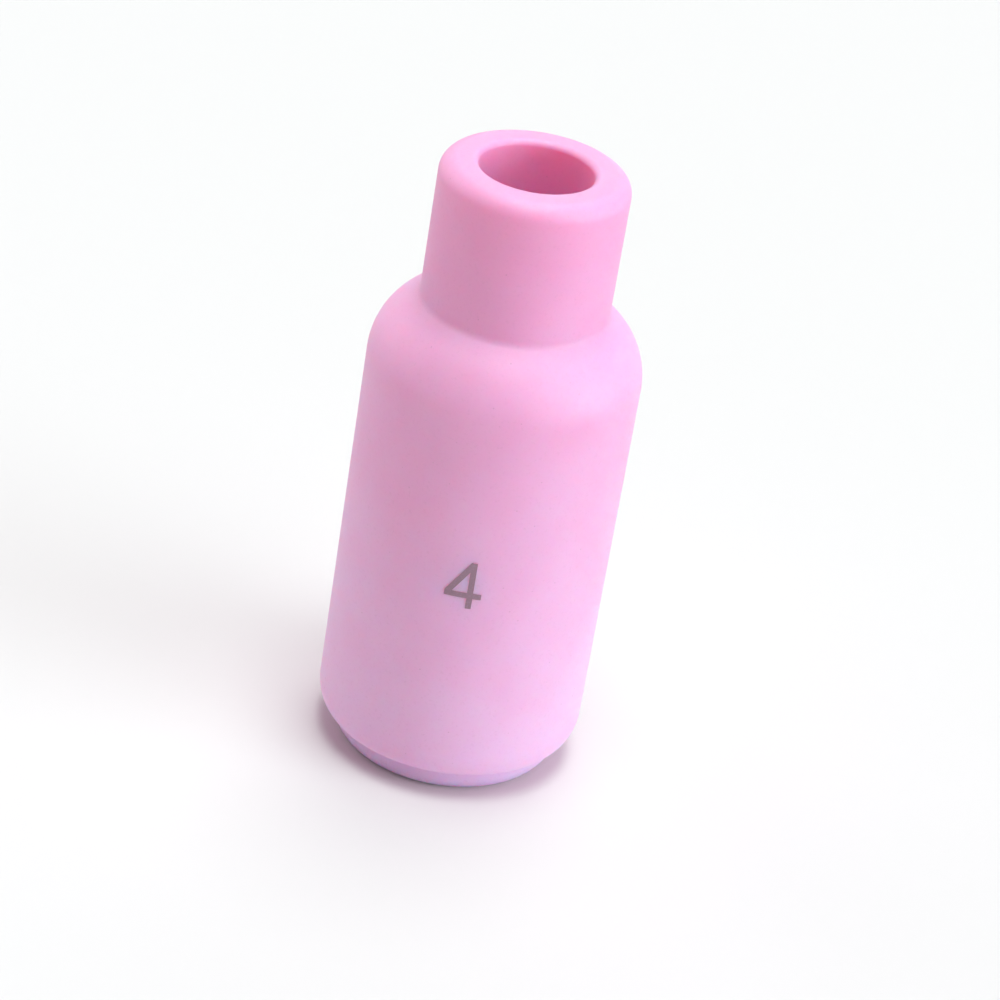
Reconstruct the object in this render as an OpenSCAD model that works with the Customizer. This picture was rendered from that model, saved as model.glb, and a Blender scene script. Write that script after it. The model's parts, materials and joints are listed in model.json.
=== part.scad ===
// Gas nozzle (ceramic cup) for a TIG welding torch.
// A one-piece fired ceramic shell that screws onto the gas lens body of a torch
// and guides the shielding gas through a round orifice. Its size digit is printed
// on the outside.
// Origin: centre of the back face. +Z points to the orifice, -Y to the size digit.
// Sizes are in millimetres and degrees.

/* [Body] */
// Length from the back face to the orifice face
overall_length = 42; // [38:0.5:50]
// Diameter of the wide body
body_d = 17.6; // [17:0.1:20]
// How far the body's lower corner is drawn in
body_corner_w = 0.65; // [0.4:0.05:1.1]
// How high the body's lower corner reaches up the side
body_corner_h = 1.45; // [0.6:0.05:3]

/* [Back collar] */
// Diameter of the collar that the nozzle stands on
collar_d = 15.1; // [14.7:0.1:15.8]
// Height of the collar below the body
collar_h = 2; // [1.2:0.05:4]
// Round at the collar's lower edge
collar_round = 1.1; // [0.2:0.05:1.2]

/* [Shoulder and neck] */
// Diameter of the neck
neck_d = 12.05; // [11:0.05:13]
// Height of the neck above the shoulder
neck_h = 9.4; // [7:0.1:12]
// Round between the body and the shoulder
shoulder_round = 4.9; // [2:0.1:6]
// Slope of the shoulder, measured from the nozzle's axis
shoulder_angle = 50; // [30:1:60]
// Hollow round where the shoulder meets the neck
neck_fillet = 0.6; // [0.2:0.1:1.5]
// Round at the outer edge of the orifice face
rim_round = 1.1; // [0.3:0.05:1.5]

/* [Gas passage] */
// Diameter of the straight, narrow part of the orifice
orifice_d = 6.35; // [4.8:0.05:7.1]
// Diameter of the mouth, where the orifice has flared out
mouth_d = 7.25; // [6.4:0.05:8]
// Depth at which the flare begins, below the orifice face
flare_depth = 5; // [2:0.1:7]
// How far the mouth's edge is rounded into the orifice face
mouth_edge_w = 0.4; // [0.2:0.05:1.2]
// How far the mouth's edge is rounded down into the orifice
mouth_edge_h = 0.4; // [0.2:0.05:1]
// Distance from the neck's foot down to the top of the funnel
funnel_drop = 0.2; // [0:0.1:2]
// Slope of the funnel that leads to the orifice, measured from the axis
funnel_angle = 40; // [25:1:50]
// Round where the funnel turns into the orifice
funnel_round = 2; // [0.5:0.1:4]
// Diameter of the plain chamber that takes the barrel of the gas lens
chamber_d = 11.2; // [10.4:0.1:11.6]
// Hollow round where the chamber turns into the funnel
chamber_round = 1; // [0.3:0.1:2]
// Chamfer around the back opening
lead_in = 0.4; // [0.2:0.05:0.6]

/* [Thread] */
// Distance from one turn of the thread to the next
thread_pitch = 1.6; // [1.3:0.1:2.4]
// Number of turns, with the half turn in which the groove runs out
thread_turns = 5; // [3:0.5:7]
// Depth of the thread groove in the chamber wall
thread_depth = 0.55; // [0.3:0.05:0.7]
// Width of the thread groove at the chamber wall
groove_w = 1; // [0.7:0.05:1.2]
// Width of the thread groove at its root
groove_root_w = 0.5; // [0.3:0.05:0.65]

/* [Size digit] */
// Height of the printed digit
digit_h = 3.35; // [2.4:0.05:6]
// Width of the printed digit
digit_w = 2.35; // [1.8:0.05:5]
// Height of the crossbar's lower edge above the digit's foot
digit_bar_h = 0.75; // [0.4:0.05:1.2]
// Distance of the upright stroke's right edge from the digit's middle
digit_stem_x = 0.65; // [0.4:0.05:0.9]
// Width of a printed stroke
digit_stroke = 0.37; // [0.2:0.01:0.5]
// Height of the digit's foot above the back face
digit_z = 15.1; // [6:0.1:18]
// Thickness of the fired ink
ink_thickness = 0.04; // [0.02:0.01:0.2]

/* [Hidden] */

$fn = 96;
arc_steps = 10;
steps_per_turn = 20;
// How far a cutter reaches past the face that it passes through
spare = 0.4;

body_r = body_d / 2;
collar_r = collar_d / 2;
neck_r = neck_d / 2;
orifice_r = orifice_d / 2;
mouth_r = mouth_d / 2;
chamber_r = chamber_d / 2;

// The shoulder's round ends at the neck if it gets there before it is steep enough.
slope = min(shoulder_angle, acos(1 - min(1, (body_r - neck_r) / shoulder_round)));
slope_r = body_r - shoulder_round * (1 - cos(slope));
neck_z = overall_length - neck_h;
shoulder_z = neck_z - (slope_r - neck_r) / tan(slope) - shoulder_round * sin(slope);
// The hollow round is no larger than the straight part of the slope allows.
fillet = min(neck_fillet, (slope_r - neck_r) / (1 - cos(slope)));

// The round of the mouth's edge is no wider than the orifice face allows.
edge_w = min(mouth_edge_w, neck_r - rim_round - mouth_r);

funnel_top_z = neck_z - funnel_drop;
funnel_z = funnel_top_z - (chamber_r - orifice_r) / tan(funnel_angle);

// Points of an arc, or of an oval if its width and height differ.
function arc(centre, width, height, from, to) =
    [for (i = [0:arc_steps])
        let (a = from + (to - from) * i / arc_steps)
        centre + [width * cos(a), height * sin(a)]];

// Points of a round arc.
function round_arc(centre, r, from, to) = arc(centre, r, r, from, to);

// Half of the outside, from the back face up to the orifice face.
function outside() = concat(
    round_arc([collar_r - collar_round, collar_round], collar_round, -90, 0),
    [[collar_r, collar_h]],
    arc([body_r - body_corner_w, collar_h + body_corner_h], body_corner_w, body_corner_h, -90, 0),
    round_arc([body_r - shoulder_round, shoulder_z], shoulder_round, 0, slope),
    round_arc([neck_r + fillet, neck_z + fillet * tan(slope / 2)], fillet, 180 + slope, 180),
    round_arc([neck_r - rim_round, overall_length - rim_round], rim_round, 0, 90)
);

// Half of the gas passage, from the orifice face down to the back face.
function inside() = concat(
    arc([mouth_r + edge_w, overall_length - mouth_edge_h], edge_w, mouth_edge_h, 90, 180),
    [[orifice_r, overall_length - flare_depth]],
    round_arc([orifice_r + funnel_round, funnel_top_z + funnel_round * tan(funnel_angle / 2)],
              funnel_round, 180, 180 + funnel_angle),
    round_arc([chamber_r - chamber_round, funnel_z - chamber_round * tan(funnel_angle / 2)],
              chamber_round, funnel_angle, 0),
    [[chamber_r, lead_in], [chamber_r + lead_in, 0]]
);

// A short arc of the thread groove, cut to the given depth. It starts over the X axis.
module groove_arc(depth) {
    overlap = 0.5;
    spread = (groove_w - groove_root_w) / 2 / thread_depth;
    inner_w = groove_w / 2 + spread * spare;
    outer_w = groove_w / 2 - spread * depth;
    rotate_extrude(angle = 360 / steps_per_turn + overlap)
        polygon([[chamber_r - spare, -inner_w],
                 [chamber_r + depth, -outer_w],
                 [chamber_r + depth, outer_w],
                 [chamber_r - spare, inner_w]]);
}

// The helical thread groove, as short arcs that each sit a little higher than the
// last. It starts below the back face and runs out into the wall in its last half turn.
module thread_groove() {
    count = thread_turns * steps_per_turn;
    run_out = steps_per_turn / 2;
    for (i = [0:count - 1])
        translate([0, 0, (i / steps_per_turn - 0.5) * thread_pitch])
            rotate([0, 0, 360 * i / steps_per_turn])
                groove_arc(thread_depth * min(1, (count - i) / run_out));
}

// The fired ceramic shell, with its gas passage and its internal thread.
module nozzle_body() {
    color([0.92, 0.66, 0.82])
    difference() {
        rotate_extrude()
            polygon(concat(outside(), inside()));
        thread_groove();
    }
}

// The digit 4 in plain strokes with square ends, with its foot on the X axis.
module digit_four() {
    left = -digit_w / 2;
    right = digit_w / 2;
    stem_left = digit_stem_x - digit_stroke;
    bar_top = digit_bar_h + digit_stroke;
    rise = (digit_h - bar_top) / (stem_left - left);
    slant = atan(rise);
    inner_left = left + digit_stroke / sin(slant);
    difference() {
        polygon([[stem_left, 0],
                 [digit_stem_x, 0],
                 [digit_stem_x, digit_bar_h],
                 [right, digit_bar_h],
                 [right, bar_top],
                 [digit_stem_x, bar_top],
                 [digit_stem_x, digit_h],
                 [stem_left, digit_h],
                 [left, bar_top],
                 [left, digit_bar_h],
                 [stem_left, digit_bar_h]]);
        polygon([[inner_left, bar_top],
                 [stem_left, bar_top],
                 [stem_left, bar_top + (stem_left - inner_left) * rise]]);
    }
}

// The size digit in fired ink, a thin layer on the round side of the body.
module size_digit() {
    color([0.59, 0.47, 0.53])
    intersection() {
        translate([0, 0, digit_z])
            rotate([90, 0, 0])
                linear_extrude(height = body_d)
                    digit_four();
        difference() {
            cylinder(r = body_r + ink_thickness, h = overall_length);
            cylinder(r = body_r, h = overall_length);
        }
    }
}

nozzle_body();
size_digit();
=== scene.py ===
"""Dresses the gas nozzle of a TIG torch: the fired ceramic shell with its thread, the printed
size digit, and a small photo studio around them. Lengths are in metres, in the frame of the
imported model: +Z runs along the gas passage to the orifice, and the digit faces -Y."""
import json
import math

import bmesh
import bpy
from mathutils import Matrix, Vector


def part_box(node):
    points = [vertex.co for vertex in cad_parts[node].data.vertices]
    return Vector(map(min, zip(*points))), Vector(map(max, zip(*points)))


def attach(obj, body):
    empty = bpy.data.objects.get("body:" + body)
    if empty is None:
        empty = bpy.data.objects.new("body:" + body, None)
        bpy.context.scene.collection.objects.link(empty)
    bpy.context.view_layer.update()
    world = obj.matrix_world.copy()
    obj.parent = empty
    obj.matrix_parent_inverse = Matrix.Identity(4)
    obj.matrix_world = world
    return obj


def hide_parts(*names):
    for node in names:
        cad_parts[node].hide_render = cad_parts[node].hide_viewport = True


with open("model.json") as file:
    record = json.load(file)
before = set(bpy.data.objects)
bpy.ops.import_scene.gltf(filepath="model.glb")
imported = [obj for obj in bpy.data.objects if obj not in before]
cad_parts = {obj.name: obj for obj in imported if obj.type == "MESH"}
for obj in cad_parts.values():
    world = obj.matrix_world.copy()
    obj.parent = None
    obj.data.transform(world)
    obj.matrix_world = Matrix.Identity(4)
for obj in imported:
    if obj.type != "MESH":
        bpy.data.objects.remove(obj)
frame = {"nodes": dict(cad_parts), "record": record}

bl_info = {
    "name": "Ceramic gas nozzle",
    "version": (1, 0, 0),
    "blender": (4, 5, 0),
    "location": "View3D > Sidebar > Gas Nozzle",
    "description": "Builds a fired ceramic gas nozzle with an internal thread and a printed size digit",
    "category": "Object",
}

MM = 0.001
QUARTER = math.pi / 2
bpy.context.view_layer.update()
BODY = "root"
SHELL_LOW, SHELL_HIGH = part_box("nozzle_body")

# Steps of each arc of the outline, and of the rings that the thread is pressed into.
ARC_STEPS = {"collar": 14, "corner": 16, "shoulder": 24, "fillet": 8, "rim": 20,
             "mouth": 20, "funnel": 10, "chamber": 8}
RINGS_PER_PITCH = 18
CHAMFER_STEPS = 5
# The last part of the thread's turns, in which the groove runs out.
RUN_OUT_TURNS = 0.5
# Points closer than this are one point, and edges sharper than the crease are shaded sharp.
MERGE_DISTANCE = 1e-7
CREASE = math.radians(32)

# Finish of the ceramic. Scales are in waves or cells per metre.
CLOUD_SCALE = 210
GRAIN_SCALE = 5200
PORE_SCALE = 1600
# Heights between which the ceramic turns from its paler colour near the foot, painted bounce light from
# the table, to its deeper colour towards the neck, painted shade, and how far the clouds shift that.
PAINTED_BOUNCE_HEIGHT, PAINTED_SHADE_HEIGHT = 4 * MM, 38 * MM
CLOUD_SHIFT = 0.15
# A pore's rim, in cells from the middle, and the values that choose about one cell in seven.
PORE_RIM = (0.05, 0.11)
PORE_CHOICE = (0.84, 0.86)
# Shares of the pore colour in the grain, as random tone, and in the pores, as painted shade in the
# pits.
GRAIN_TINT = 0.16
PIT_PAINTED_SHADE = 0.45
CERAMIC_ROUGHNESS = (0.5, 0.66)
CERAMIC_DEPTH = 0.02 * MM
CERAMIC_IOR = 1.76
CERAMIC_SHINE = 0.6
# How far light travels below the surface, and the shares of that for red, green and blue.
LIGHT_REACH = 3 * MM
LIGHT_REACH_SHARES = (1.0, 0.1, 0.14)

# Finish of the ink.
INK_SCALE = 6000
INK_THIN = 0.12
INK_DEPTH = 0.01 * MM
INK_ROUGHNESS = 0.75
INK_SHINE = 0.3
BUMP_STRENGTH = 0.5

# The studio: half the table's width, the white that the table adds where it is seen directly,
# and the even light of the surroundings.
TABLE_HALF = 1.5
FLOOR_LIFT = 0.03
AMBIENT = 0.03


def mount_radius(name):
    """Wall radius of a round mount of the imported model."""
    mount = next(m for m in frame["record"]["mounts"] if m["name"] == name)
    return mount["dims"]["r_mm"] * MM


# Properties


def length(name, description, default):
    """A length property, in metres."""
    return bpy.props.FloatProperty(name=name, description=description, default=default,
                                   min=0.0, precision=5, unit="LENGTH")


def angle(name, description, degrees):
    """An angle property, given in degrees and kept in radians."""
    return bpy.props.FloatProperty(name=name, description=description,
                                   default=math.radians(degrees), subtype="ANGLE")


def colour(name, description, default):
    """An opaque colour property, in linear light."""
    return bpy.props.FloatVectorProperty(name=name, description=description, default=default,
                                         size=3, min=0.0, max=1.0, subtype="COLOR")


class NozzleSizes(bpy.types.PropertyGroup):
    """Sizes of the ceramic shell"""
    overall: length("Length", "From the back face to the orifice face",
                    SHELL_HIGH[2] - SHELL_LOW[2])
    body_radius: length("Body radius", "Radius of the wide body",
                        (SHELL_HIGH[0] - SHELL_LOW[0]) / 2)
    corner_width: length("Corner width", "How far the body's lower corner is drawn in", 0.65 * MM)
    corner_height: length("Corner height", "How high the lower corner reaches up", 1.45 * MM)
    collar_radius: length("Collar radius", "Radius of the collar at the back", 7.55 * MM)
    collar_height: length("Collar height", "Height of the collar below the body", 2 * MM)
    collar_round: length("Collar round", "Round at the collar's lower edge", 1.1 * MM)
    neck_radius: length("Neck radius", "Radius of the neck", 6.025 * MM)
    neck_height: length("Neck height", "Height of the neck above the shoulder", 9.4 * MM)
    shoulder_round: length("Shoulder round", "Round between body and shoulder", 4.9 * MM)
    shoulder_slope: angle("Shoulder slope", "Slope of the shoulder from the axis", 50)
    neck_fillet: length("Neck fillet", "Hollow round at the foot of the neck", 0.6 * MM)
    rim_round: length("Rim round", "Round at the outer edge of the orifice face", 1.1 * MM)
    mouth_radius: length("Mouth radius", "Radius of the flared mouth", 3.625 * MM)
    mouth_edge_width: length("Mouth edge width", "Round of the mouth's edge, outwards", 0.4 * MM)
    mouth_edge_height: length("Mouth edge height", "Round of the mouth's edge, down", 0.4 * MM)
    flare_depth: length("Flare depth", "Depth at which the flare begins", 5 * MM)
    orifice_radius: length("Orifice radius", "Radius of the straight part of the orifice",
                           mount_radius("gas_orifice"))
    funnel_drop: length("Funnel drop", "From the neck's foot down to the funnel", 0.2 * MM)
    funnel_slope: angle("Funnel slope", "Slope of the funnel from the axis", 40)
    funnel_round: length("Funnel round", "Round where the funnel meets the orifice", 2 * MM)
    chamber_radius: length("Chamber radius", "Radius of the gas lens chamber",
                           mount_radius("torch_thread"))
    chamber_round: length("Chamber round", "Hollow round below the funnel", 1 * MM)
    lead_in: length("Lead-in", "Chamfer around the back opening", 0.4 * MM)
    thread_pitch: length("Thread pitch", "From one turn of the thread to the next", 1.6 * MM)
    thread_depth: length("Thread depth", "Depth of the thread groove", 0.55 * MM)
    groove_width: length("Groove width", "Width of the groove at the chamber wall", 1 * MM)
    groove_root: length("Groove root", "Width of the groove at its root", 0.5 * MM)
    thread_turns: bpy.props.FloatProperty(name="Thread turns", default=5.0, min=1.0,
                                          description="Turns of the thread, run-out included")
    columns: bpy.props.IntProperty(name="Columns", default=240, min=48,
                                   description="Steps of the full turn that makes the shell")


class NozzleColours(bpy.types.PropertyGroup):
    """Colours of the ceramic, the ink and the studio"""
    # The ceramic is paler near the foot and deeper near the neck. This is painted bounce light from the
    # table and painted shade, blended by height, not a change in the alumina.
    ceramic: colour("Ceramic", "Pale pink of the alumina near the foot", (0.96, 0.52, 0.825))
    ceramic_painted_shade: colour("Ceramic, deep", "Deeper pink near the neck", (0.89, 0.35, 0.65))
    # The pore colour tints the grain at random and darkens the pits of the pores as painted shade.
    pores: colour("Pores", "Inside of the small pores", (0.62, 0.26, 0.44))
    ink: colour("Ink", "Grey mauve of the fired ink", (0.35, 0.21, 0.275))
    floor: colour("Floor", "Pale table top", (0.77, 0.745, 0.745))


# Outline


def arc(centre, width, height, start, end, steps):
    """Points (radius, height) of an arc, or of an oval where width and height differ."""
    points = []
    for i in range(steps + 1):
        turn = start + (end - start) * i / steps
        points.append((centre[0] + width * math.cos(turn), centre[1] + height * math.sin(turn)))
    return points


def round_arc(centre, radius, start, end, steps):
    """Points (radius, height) of a round arc."""
    return arc(centre, radius, radius, start, end, steps)


def outside(s):
    """Half of the shell's outside, from the back face up to the orifice face."""
    neck_z = s.overall - s.neck_height
    slope = s.shoulder_slope
    slope_radius = s.body_radius - s.shoulder_round * (1 - math.cos(slope))
    shoulder_z = (neck_z - (slope_radius - s.neck_radius) / math.tan(slope)
                  - s.shoulder_round * math.sin(slope))
    fillet_z = neck_z + s.neck_fillet * math.tan(slope / 2)
    return (
        round_arc((s.collar_radius - s.collar_round, s.collar_round), s.collar_round,
                  -QUARTER, 0, ARC_STEPS["collar"])
        + [(s.collar_radius, s.collar_height)]
        + arc((s.body_radius - s.corner_width, s.collar_height + s.corner_height),
              s.corner_width, s.corner_height, -QUARTER, 0, ARC_STEPS["corner"])
        + round_arc((s.body_radius - s.shoulder_round, shoulder_z), s.shoulder_round,
                    0, slope, ARC_STEPS["shoulder"])
        + round_arc((s.neck_radius + s.neck_fillet, fillet_z), s.neck_fillet,
                    math.pi + slope, math.pi, ARC_STEPS["fillet"])
        + round_arc((s.neck_radius - s.rim_round, s.overall - s.rim_round), s.rim_round,
                    0, QUARTER, ARC_STEPS["rim"])
    )


def thread_top(s):
    """Height at which the thread groove has run out. It starts half a pitch below the back."""
    return (s.thread_turns - 0.5) * s.thread_pitch + s.groove_width / 2


def inside(s):
    """Half of the gas passage, from the orifice face down to the back face. Its lower end has
    close rings, which the thread is then pressed into."""
    slope = s.funnel_slope
    funnel_top = s.overall - s.neck_height - s.funnel_drop
    funnel_z = funnel_top - (s.chamber_radius - s.orifice_radius) / math.tan(slope)
    rings = round((thread_top(s) - s.lead_in) / s.thread_pitch * RINGS_PER_PITCH)
    step = (thread_top(s) - s.lead_in) / rings
    return (
        arc((s.mouth_radius + s.mouth_edge_width, s.overall - s.mouth_edge_height),
            s.mouth_edge_width, s.mouth_edge_height, QUARTER, math.pi, ARC_STEPS["mouth"])
        + [(s.orifice_radius, s.overall - s.flare_depth)]
        + round_arc((s.orifice_radius + s.funnel_round,
                     funnel_top + s.funnel_round * math.tan(slope / 2)), s.funnel_round,
                    math.pi, math.pi + slope, ARC_STEPS["funnel"])
        + round_arc((s.chamber_radius - s.chamber_round,
                     funnel_z - s.chamber_round * math.tan(slope / 2)), s.chamber_round,
                    slope, 0, ARC_STEPS["chamber"])
        + [(s.chamber_radius, thread_top(s) - step * i) for i in range(rings)]
        + [(s.chamber_radius + s.lead_in * i / CHAMFER_STEPS, s.lead_in * (1 - i / CHAMFER_STEPS))
           for i in range(CHAMFER_STEPS + 1)]
    )


def groove_depth(s, turn, z):
    """Depth of the helical thread groove at a height and at a turn from 0 to 1."""
    start = -s.thread_pitch / 2
    number = round((z - start) / s.thread_pitch - turn)
    travelled = number + turn
    if not 0 <= travelled <= s.thread_turns:
        return 0.0
    off_centre = abs(z - start - travelled * s.thread_pitch)
    flank = (s.groove_width - s.groove_root) / 2
    share = min(1.0, max(0.0, (s.groove_width / 2 - off_centre) / flank))
    run_out = min(1.0, (s.thread_turns - travelled) / RUN_OUT_TURNS)
    return s.thread_depth * run_out * share * share * (3 - 2 * share)


# Meshes


def finished_piece(bm, name, material, node):
    """Turns a bmesh into a piece that rides on the body and stands for a node."""
    mesh = bpy.data.meshes.new(name)
    bm.to_mesh(mesh)
    bm.free()
    mesh.materials.append(material)
    piece = bpy.data.objects.new(name, mesh)
    bpy.context.scene.collection.objects.link(piece)
    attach(piece, BODY)
    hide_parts(node)
    return piece


def shade_smooth(bm):
    """Smooth shading with sharp edges where faces meet at more than the crease angle."""
    for face in bm.faces:
        face.smooth = True
    for edge in bm.edges:
        edge.smooth = edge.calc_face_angle(0.0) < CREASE


def press_thread(bm, s):
    """Moves the lower wall of the chamber outwards along the thread groove."""
    top = thread_top(s)
    for vert in bm.verts:
        radius = math.hypot(vert.co.x, vert.co.y)
        if vert.co.z > top or radius > s.chamber_radius + s.lead_in + MERGE_DISTANCE:
            continue
        turn = math.atan2(vert.co.y, vert.co.x) / math.tau % 1.0
        depth = groove_depth(s, turn, vert.co.z)
        target = max(radius, s.chamber_radius + depth)
        vert.co.x *= target / radius
        vert.co.y *= target / radius


def shell_mesh(s):
    """The ceramic shell as one closed skin, turned from its outline."""
    bm = bmesh.new()
    outline = outside(s) + inside(s)
    verts = [bm.verts.new((radius, 0.0, z)) for radius, z in outline]
    edges = [bm.edges.new((a, b)) for a, b in zip(verts, verts[1:] + verts[:1])]
    bmesh.ops.spin(bm, geom=verts + edges, cent=(0, 0, 0), axis=(0, 0, 1), angle=math.tau,
                   steps=s.columns, use_merge=True, use_duplicate=False)
    bmesh.ops.remove_doubles(bm, verts=bm.verts, dist=MERGE_DISTANCE)
    press_thread(bm, s)
    bmesh.ops.recalc_face_normals(bm, faces=bm.faces)
    shade_smooth(bm)
    return bm


# Materials


def node_material(name):
    """A new material with its nodes, its links and its main shader."""
    material = bpy.data.materials.new(name)
    material.use_nodes = True
    tree = material.node_tree
    return material, tree, tree.nodes["Principled BSDF"]


def object_place(tree):
    """Object coordinates."""
    return tree.nodes.new("ShaderNodeTexCoord").outputs["Object"]


def height_of(tree, place):
    """Height above the back face."""
    split = tree.nodes.new("ShaderNodeSeparateXYZ")
    tree.links.new(place, split.inputs["Vector"])
    return split.outputs["Z"]


def noise(tree, place, scale, detail):
    """Soft noise, as a value around 0.5."""
    node = tree.nodes.new("ShaderNodeTexNoise")
    node.inputs["Scale"].default_value = scale
    node.inputs["Detail"].default_value = detail
    tree.links.new(place, node.inputs["Vector"])
    return node.outputs["Fac"]


def remap(tree, value, low, high, new_low, new_high):
    """Maps a value from one range to another and keeps it there."""
    node = tree.nodes.new("ShaderNodeMapRange")
    tree.links.new(value, node.inputs["Value"])
    node.inputs["From Min"].default_value = low
    node.inputs["From Max"].default_value = high
    node.inputs["To Min"].default_value = new_low
    node.inputs["To Max"].default_value = new_high
    return node.outputs["Result"]


def combine(tree, operation, first, second):
    """Joins two values. The second may be a plain number."""
    node = tree.nodes.new("ShaderNodeMath")
    node.operation = operation
    tree.links.new(first, node.inputs[0])
    if isinstance(second, (int, float)):
        node.inputs[1].default_value = second
    else:
        tree.links.new(second, node.inputs[1])
    return node.outputs["Value"]


def blend_colours(tree, factor, first, second):
    """Blends from the first colour to the second. A colour may be a socket."""
    node = tree.nodes.new("ShaderNodeMix")
    node.data_type = "RGBA"
    tree.links.new(factor, node.inputs["Factor"])
    for socket, value in ((node.inputs["A"], first), (node.inputs["B"], second)):
        if isinstance(value, bpy.types.NodeSocket):
            tree.links.new(value, socket)
        else:
            socket.default_value = (*value, 1)
    return node.outputs["Result"]


def pore_mask(tree, place):
    """Small round pores in some cells of 0.6 mm, as a value from 0 to 1."""
    cells = tree.nodes.new("ShaderNodeTexVoronoi")
    cells.inputs["Scale"].default_value = PORE_SCALE
    tree.links.new(place, cells.inputs["Vector"])
    split = tree.nodes.new("ShaderNodeSeparateColor")
    tree.links.new(cells.outputs["Color"], split.inputs["Color"])
    pit = remap(tree, cells.outputs["Distance"], *PORE_RIM, 1, 0)
    chosen = remap(tree, split.outputs["Red"], *PORE_CHOICE, 0, 1)
    return combine(tree, "MULTIPLY", pit, chosen)


def bump(tree, height, depth):
    """A bumped normal. The depth is that of a full step in height."""
    node = tree.nodes.new("ShaderNodeBump")
    node.inputs["Distance"].default_value = depth
    node.inputs["Strength"].default_value = BUMP_STRENGTH
    tree.links.new(height, node.inputs["Height"])
    return node.outputs["Normal"]


def ceramic_material(colours):
    """Unglazed fired alumina: paler near the foot and deeper towards the neck, which is painted bounce
    light from the table and painted shade, with fine pressed grain, faint clouds, small pores darkened
    with painted shade, and light in depth."""
    material, tree, shader = node_material("fired_alumina")
    place = object_place(tree)
    clouds = noise(tree, place, CLOUD_SCALE, 4)
    grain = noise(tree, place, GRAIN_SCALE, 3)
    pores = pore_mask(tree, place)

    # Painted bounce light and painted shade: paler near the foot, deeper towards the neck.
    painted_bounce_share = remap(tree, height_of(tree, place), PAINTED_BOUNCE_HEIGHT, PAINTED_SHADE_HEIGHT, 1, 0)
    painted_bounce_share = combine(tree, "ADD", painted_bounce_share, remap(tree, clouds, 0.3, 0.7, -CLOUD_SHIFT, CLOUD_SHIFT))
    tint = blend_colours(tree, painted_bounce_share, colours.ceramic_painted_shade, colours.ceramic)
    speck = remap(tree, grain, 0.58, 0.75, 0, GRAIN_TINT)
    tint = blend_colours(tree, speck, tint, colours.pores)
    # Painted shade in the pits of the pores.
    tint = blend_colours(tree, combine(tree, "MULTIPLY", pores, PIT_PAINTED_SHADE), tint, colours.pores)
    tree.links.new(tint, shader.inputs["Base Color"])

    rough = remap(tree, combine(tree, "ADD", clouds, grain), 0.7, 1.3, *CERAMIC_ROUGHNESS)
    tree.links.new(rough, shader.inputs["Roughness"])
    height = combine(tree, "SUBTRACT", combine(tree, "MULTIPLY", grain, 0.5), pores)
    tree.links.new(bump(tree, height, CERAMIC_DEPTH), shader.inputs["Normal"])

    shader.inputs["IOR"].default_value = CERAMIC_IOR
    shader.inputs["Specular IOR Level"].default_value = CERAMIC_SHINE
    shader.inputs["Subsurface Weight"].default_value = 1.0
    shader.inputs["Subsurface Radius"].default_value = LIGHT_REACH_SHARES
    shader.inputs["Subsurface Scale"].default_value = LIGHT_REACH
    return material


def ink_material(colours):
    """Matte fired ink that lets a little of the grain show through."""
    material, tree, shader = node_material("fired_ink")
    place = object_place(tree)
    thin = remap(tree, noise(tree, place, INK_SCALE, 3), 0.5, 0.75, 0, INK_THIN)
    tree.links.new(blend_colours(tree, thin, colours.ink, colours.ceramic),
                   shader.inputs["Base Color"])
    tree.links.new(bump(tree, noise(tree, place, GRAIN_SCALE, 3), INK_DEPTH),
                   shader.inputs["Normal"])
    shader.inputs["Roughness"].default_value = INK_ROUGHNESS
    shader.inputs["Specular IOR Level"].default_value = INK_SHINE
    return material


def seen_directly(tree):
    """1 for camera, glossy and clear rays, 0 for the light that falls on a surface."""
    path = tree.nodes.new("ShaderNodeLightPath")
    seen = combine(tree, "MAXIMUM", path.outputs["Is Camera Ray"], path.outputs["Is Glossy Ray"])
    return combine(tree, "MAXIMUM", seen, path.outputs["Is Transmission Ray"])


def floor_material(colours):
    """Pale matte table top. Where it is seen directly it has a little extra white, so that
    the far table is white and still holds the shadow."""
    material, tree, shader = node_material("table_top")
    shader.inputs["Base Color"].default_value = (*colours.floor, 1)
    shader.inputs["Roughness"].default_value = 1.0
    shader.inputs["Specular IOR Level"].default_value = 0.0
    shader.inputs["Emission Color"].default_value = (1, 1, 1, 1)
    lift = combine(tree, "MULTIPLY", seen_directly(tree), FLOOR_LIFT)
    tree.links.new(lift, shader.inputs["Emission Strength"])
    return material


# Studio

# Soft lamps: name, colour, strength, spread, bearing from the front to the right, and height.
# Angles are in degrees and are seen from the middle of the nozzle.
LAMPS = (
    ("key", (0.82, 0.98, 1), 2.3, 40, 74, 7),
    ("right_high", (0.94, 1, 1), 0.62, 40, 60, 52),
    ("left", (1, 0.93, 0.96), 0.36, 60, -90, 40),
    ("top", (0.94, 1, 0.99), 1.73, 28, 10, 82),
    ("back_high", (0.98, 1, 0.99), 0.8, 24, 165, 74),
    ("back", (0.98, 1, 1), 0.4, 50, 180, 46),
    ("left_edge", (1, 0.95, 0.98), 0.55, 55, -122, 12),
)

CAMERA_PLACE = (4.899 * MM, -191.036 * MM, 128.489 * MM)
CAMERA_TURN = (59.656, -8.362, 5.987)
CAMERA_LENS = 122.4


def add_table(scene, colours):
    """A wide table top under the nozzle."""
    bm = bmesh.new()
    bmesh.ops.create_grid(bm, x_segments=1, y_segments=1, size=TABLE_HALF)
    mesh = bpy.data.meshes.new("table_top")
    bm.to_mesh(mesh)
    bm.free()
    mesh.materials.append(floor_material(colours))
    table = bpy.data.objects.new("table_top", mesh)
    table.location.z = SHELL_LOW[2]
    scene.collection.objects.link(table)


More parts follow.
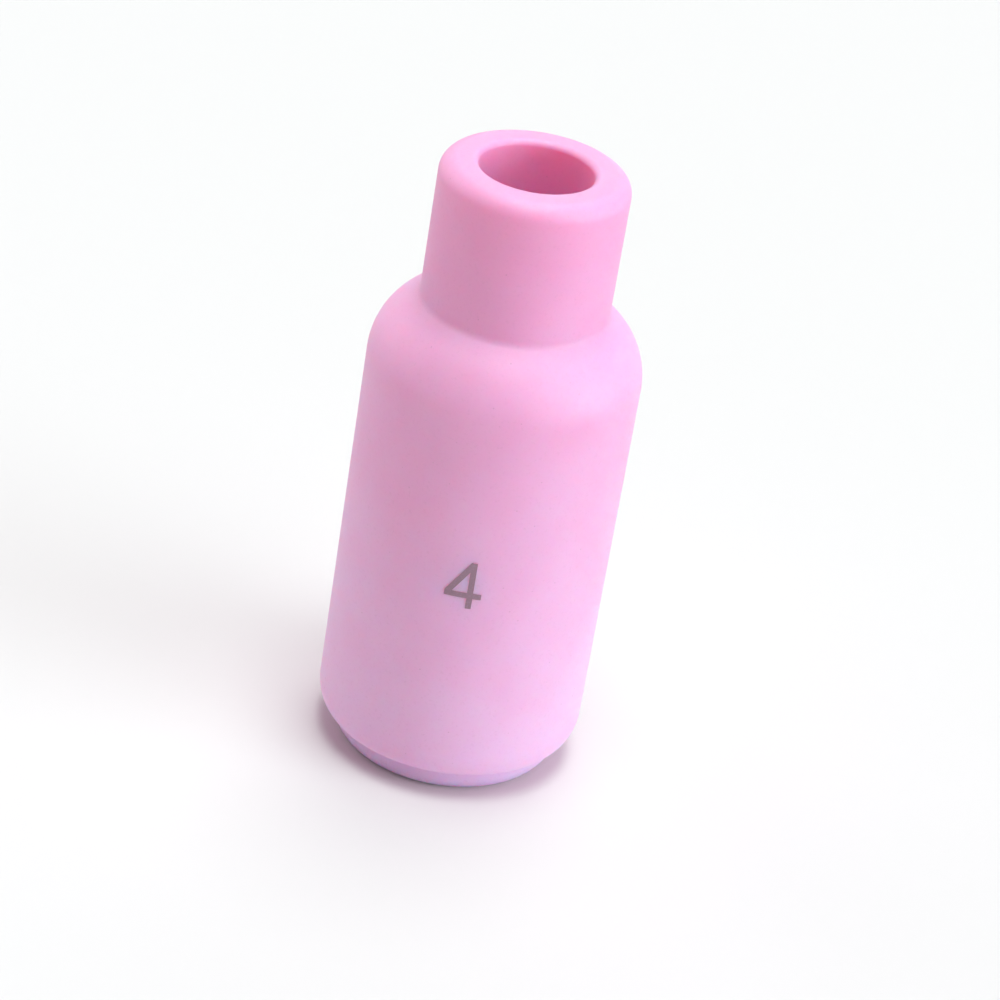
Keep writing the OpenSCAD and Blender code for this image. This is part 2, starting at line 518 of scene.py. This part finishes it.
def add_world(scene):
    """White surroundings that cast a weaker, even light."""
    world = bpy.data.worlds.new("studio")
    world.use_nodes = True
    tree = world.node_tree
    ambient = tree.nodes["Background"]
    ambient.inputs["Color"].default_value = (1, 1, 1, 1)
    ambient.inputs["Strength"].default_value = AMBIENT
    white = tree.nodes.new("ShaderNodeBackground")
    white.inputs["Color"].default_value = (1, 1, 1, 1)
    mix = tree.nodes.new("ShaderNodeMixShader")
    tree.links.new(seen_directly(tree), mix.inputs["Fac"])
    tree.links.new(ambient.outputs["Background"], mix.inputs[1])
    tree.links.new(white.outputs["Background"], mix.inputs[2])
    tree.links.new(mix.outputs["Shader"], tree.nodes["World Output"].inputs["Surface"])
    scene.world = world


def add_lamp(scene, name, tint, strength, spread, bearing, height):
    """A soft sun that shines from a bearing and a height."""
    light = bpy.data.lights.new(name, "SUN")
    light.color = tint
    light.energy = strength
    light.angle = math.radians(spread)
    lamp = bpy.data.objects.new(name, light)
    turn, tilt = math.radians(bearing), math.radians(height)
    source = Vector((math.sin(turn) * math.cos(tilt), -math.cos(turn) * math.cos(tilt),
                     math.sin(tilt)))
    lamp.rotation_euler = source.to_track_quat("Z", "Y").to_euler()
    scene.collection.objects.link(lamp)


def add_camera(scene):
    """A long lens in front of the nozzle and above it, rolled a little."""
    lens = bpy.data.cameras.new("camera")
    lens.lens = CAMERA_LENS
    camera = bpy.data.objects.new("camera", lens)
    camera.location = CAMERA_PLACE
    camera.rotation_euler = [math.radians(a) for a in CAMERA_TURN]
    scene.collection.objects.link(camera)
    scene.camera = camera


# Operators


class NOZZLE_OT_shell(bpy.types.Operator):
    """Build the fired ceramic shell with its internal thread"""
    bl_idname = "nozzle.shell"
    bl_label = "Ceramic Shell"

    def execute(self, context):
        scene = context.scene
        finished_piece(shell_mesh(scene.nozzle_sizes), "ceramic_shell",
                       ceramic_material(scene.nozzle_colours), "nozzle_body")
        return {"FINISHED"}


class NOZZLE_OT_digit(bpy.types.Operator):
    """Give the printed size digit its ink"""
    bl_idname = "nozzle.digit"
    bl_label = "Size Digit"

    def execute(self, context):
        ink = ink_material(context.scene.nozzle_colours)
        for slot in frame["nodes"]["size_digit"].material_slots:
            slot.material = ink
        return {"FINISHED"}


class NOZZLE_OT_stage(bpy.types.Operator):
    """Set the table, the lights and the camera"""
    bl_idname = "nozzle.stage"
    bl_label = "Stage"

    def execute(self, context):
        scene = context.scene
        add_table(scene, scene.nozzle_colours)
        add_world(scene)
        for lamp in LAMPS:
            add_lamp(scene, *lamp)
        add_camera(scene)
        scene.view_settings.view_transform = "Standard"
        return {"FINISHED"}


class NOZZLE_PT_sidebar(bpy.types.Panel):
    """Sizes, colours and build steps of the gas nozzle"""
    bl_idname = "NOZZLE_PT_sidebar"
    bl_label = "Gas Nozzle"
    bl_space_type = "VIEW_3D"
    bl_region_type = "UI"
    bl_category = "Gas Nozzle"

    def draw(self, context):
        layout = self.layout
        for operator in (NOZZLE_OT_shell, NOZZLE_OT_digit, NOZZLE_OT_stage):
            layout.operator(operator.bl_idname)
        for group in (context.scene.nozzle_sizes, context.scene.nozzle_colours):
            box = layout.box()
            for name in type(group).__annotations__:
                box.prop(group, name)


CLASSES = (NozzleSizes, NozzleColours, NOZZLE_OT_shell, NOZZLE_OT_digit, NOZZLE_OT_stage,
           NOZZLE_PT_sidebar)


def register():
    for cls in CLASSES:
        bpy.utils.register_class(cls)
    bpy.types.Scene.nozzle_sizes = bpy.props.PointerProperty(type=NozzleSizes)
    bpy.types.Scene.nozzle_colours = bpy.props.PointerProperty(type=NozzleColours)


def unregister():
    del bpy.types.Scene.nozzle_colours
    del bpy.types.Scene.nozzle_sizes
    for cls in reversed(CLASSES):
        bpy.utils.unregister_class(cls)


def main():
    register()
    bpy.ops.nozzle.shell()
    bpy.ops.nozzle.digit()
    bpy.ops.nozzle.stage()


if __name__ == "__main__":
    main()
